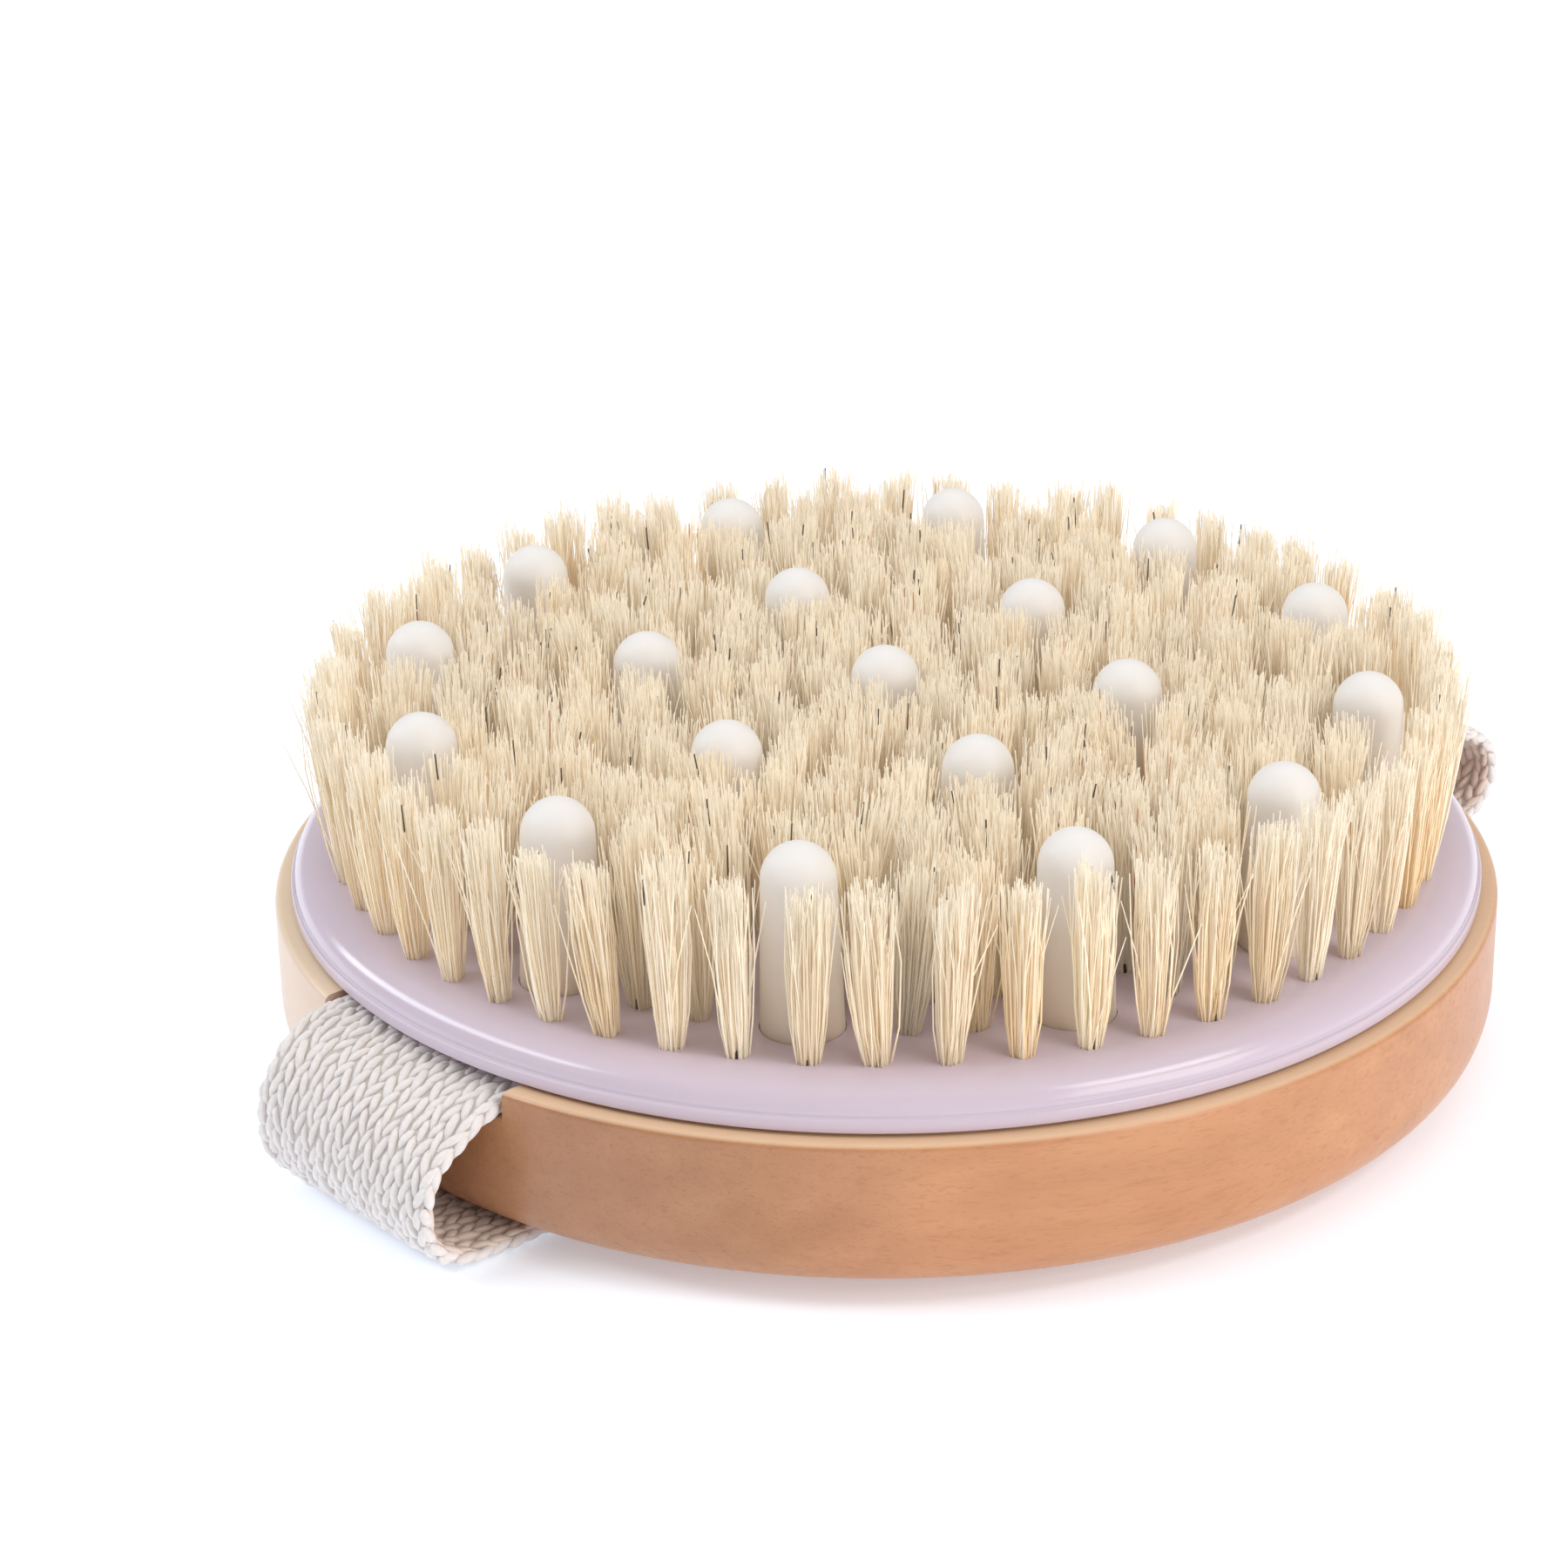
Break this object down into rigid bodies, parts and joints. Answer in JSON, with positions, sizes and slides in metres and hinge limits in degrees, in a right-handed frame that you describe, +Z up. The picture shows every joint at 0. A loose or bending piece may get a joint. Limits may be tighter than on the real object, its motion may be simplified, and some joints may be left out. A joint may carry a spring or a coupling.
{
  "type": "body dry brush",
  "caption": "Round hand-held dry brush: beech base, moulded plate with natural bristle tufts and rubber massage pins, cotton hand strap.",
  "frame": {"origin": "on the surface the brush lies on, at the underside of the folded strap, under the centre of the round base", "axes": "+X along the strap, towards its larger loop; +Z up, from the wooden back to the bristle tips; +Y across the strap"},
  "size_m": [0.1343, 0.108, 0.0351],
  "materials": {
    "beech": "satin",
    "lilac_plastic": "gloss",
    "cotton_webbing": "matt",
    "staple_wire": "satin",
    "white_rubber": "satin",
    "boar_bristle": "matt"
  },
  "bodies": {
    "root": {"wooden_base": "beech", "brush_plate": "lilac_plastic", "hand_strap": "cotton_webbing", "strap_staple_left_1": "staple_wire", "strap_staple_left_2": "staple_wire", "strap_staple_right_1": "staple_wire", "strap_staple_right_2": "staple_wire", "massage_pin_01": "white_rubber", "massage_pin_02": "white_rubber", "massage_pin_03": "white_rubber", "massage_pin_04": "white_rubber", "massage_pin_05": "white_rubber", "massage_pin_06": "white_rubber", "massage_pin_07": "white_rubber", "massage_pin_08": "white_rubber", "massage_pin_09": "white_rubber", "massage_pin_10": "white_rubber", "massage_pin_11": "white_rubber", "massage_pin_12": "white_rubber", "massage_pin_13": "white_rubber", "massage_pin_14": "white_rubber", "massage_pin_15": "white_rubber", "massage_pin_16": "white_rubber", "massage_pin_17": "white_rubber", "massage_pin_18": "white_rubber", "massage_pin_19": "white_rubber", "bristle_band_1": "boar_bristle", "bristle_band_2": "boar_bristle", "bristle_band_3": "boar_bristle", "bristle_band_4": "boar_bristle", "bristle_band_5": "boar_bristle"}
  },
  "joints": []
}
